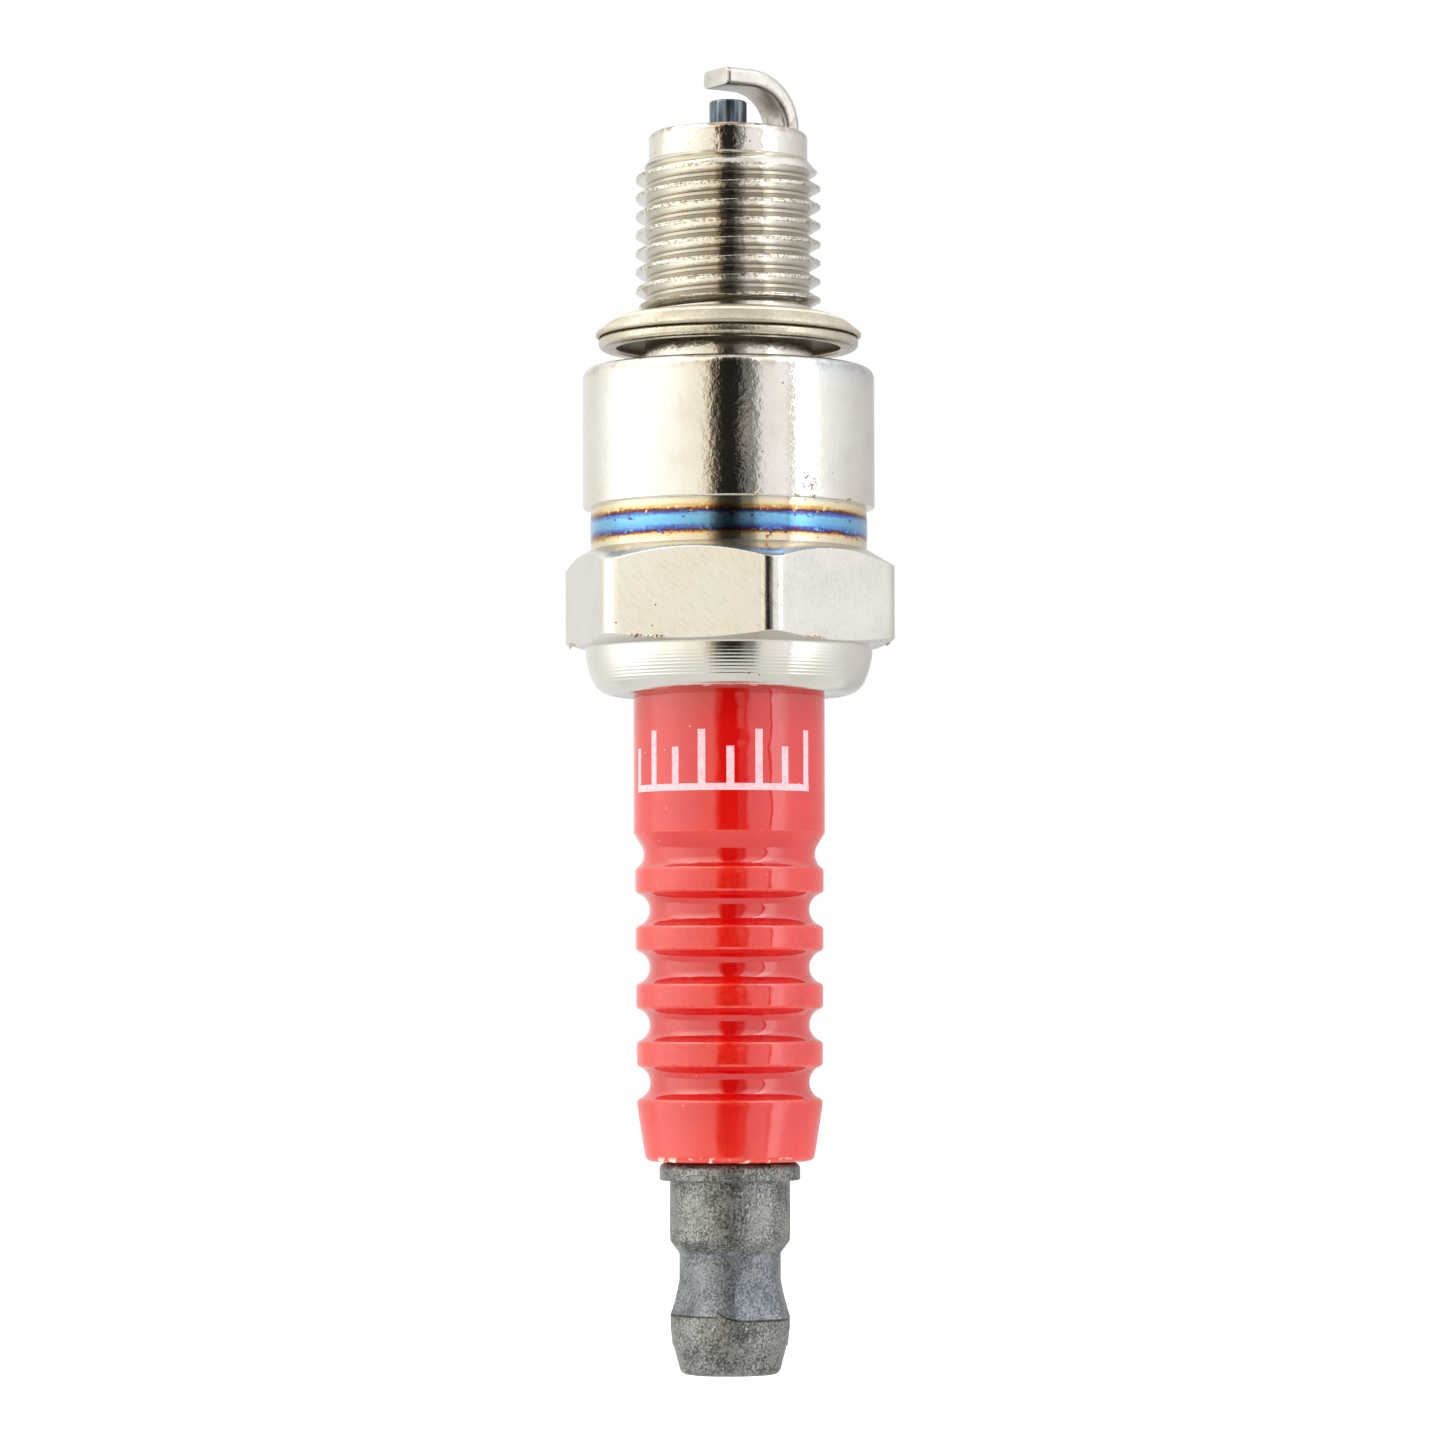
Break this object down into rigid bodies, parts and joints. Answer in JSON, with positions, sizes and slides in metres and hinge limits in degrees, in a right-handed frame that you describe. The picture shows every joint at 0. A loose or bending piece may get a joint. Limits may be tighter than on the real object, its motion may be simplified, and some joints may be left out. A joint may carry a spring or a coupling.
{
  "type": "spark plug",
  "caption": "Small-engine spark plug: threaded metal shell with hexagon and crush gasket, ribbed glazed insulator, screw-on terminal and bent side electrode.",
  "frame": {"origin": "centre of the shell's gasket seat, on the plug's axis", "axes": "+Z along the axis towards the electrodes, -Z towards the terminal, -Y the side that faced the camera"},
  "size_m": [0.0176, 0.0176, 0.0696],
  "materials": {
    "nickel_plated_steel": "polished",
    "nickel_alloy": "satin",
    "gasket_steel": "satin",
    "glazed_alumina": "gloss",
    "oxidised_nickel": "matte",
    "copper": "satin",
    "seal_glass": "satin",
    "zinc_plated_steel": "satin",
    "phosphated_steel": "matte",
    "soft_steel": "satin",
    "talc": "matte"
  },
  "bodies": {
    "plug": {"metal_shell": "nickel_plated_steel", "ground_electrode": "nickel_alloy", "insulator": "glazed_alumina", "center_electrode": "oxidised_nickel", "copper_core": "copper", "glass_seal": "seal_glass", "terminal_stud": "zinc_plated_steel", "seat_washer": "soft_steel", "lower_packing_ring": "soft_steel", "talc_ring": "talc", "upper_packing_ring": "soft_steel"},
    "gasket": {"gasket": "gasket_steel"},
    "terminal": {"terminal_nut": "phosphated_steel"}
  },
  "joints": [
    {"name": "gasket_float", "type": "slide", "parent": "plug", "child": "gasket", "axis": [0, 0, -1], "range_m": [0, 0.00102]},
    {"name": "terminal_unscrew", "type": "slide", "parent": "plug", "child": "terminal", "axis": [0, 0, -1], "range_m": [0, 0.0095]}
  ]
}
